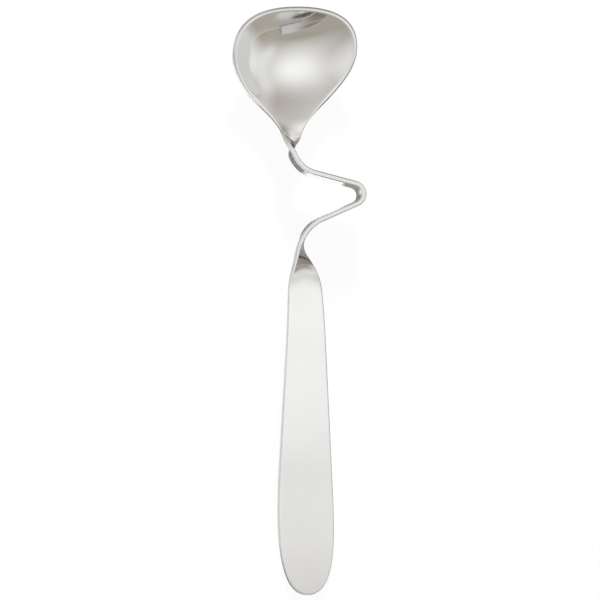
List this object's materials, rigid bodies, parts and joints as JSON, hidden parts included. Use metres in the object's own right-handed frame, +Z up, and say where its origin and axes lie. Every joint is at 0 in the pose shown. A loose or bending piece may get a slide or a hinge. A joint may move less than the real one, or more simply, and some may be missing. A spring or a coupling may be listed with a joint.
{
  "type": "jam spoon",
  "caption": "Polished steel jam spoon: a wide teardrop bowl, an on-edge strap bent sideways into a hook for a jar's rim, and a flat tapering handle.",
  "frame": {"origin": "on the table under the middle of the spoon's outer box, the spoon lying face up", "axes": "+Y along the spoon from the end of the handle to the tip of the bowl, +Z up out of the bowl, +X towards the closed bend of the hook"},
  "size_m": [0.0382, 0.169, 0.0142],
  "materials": {
    "polished_stainless": "mirror polished stainless steel"
  },
  "bodies": {
    "root": {"bowl": "polished_stainless", "neck_hook": "polished_stainless", "handle": "polished_stainless"}
  },
  "joints": []
}
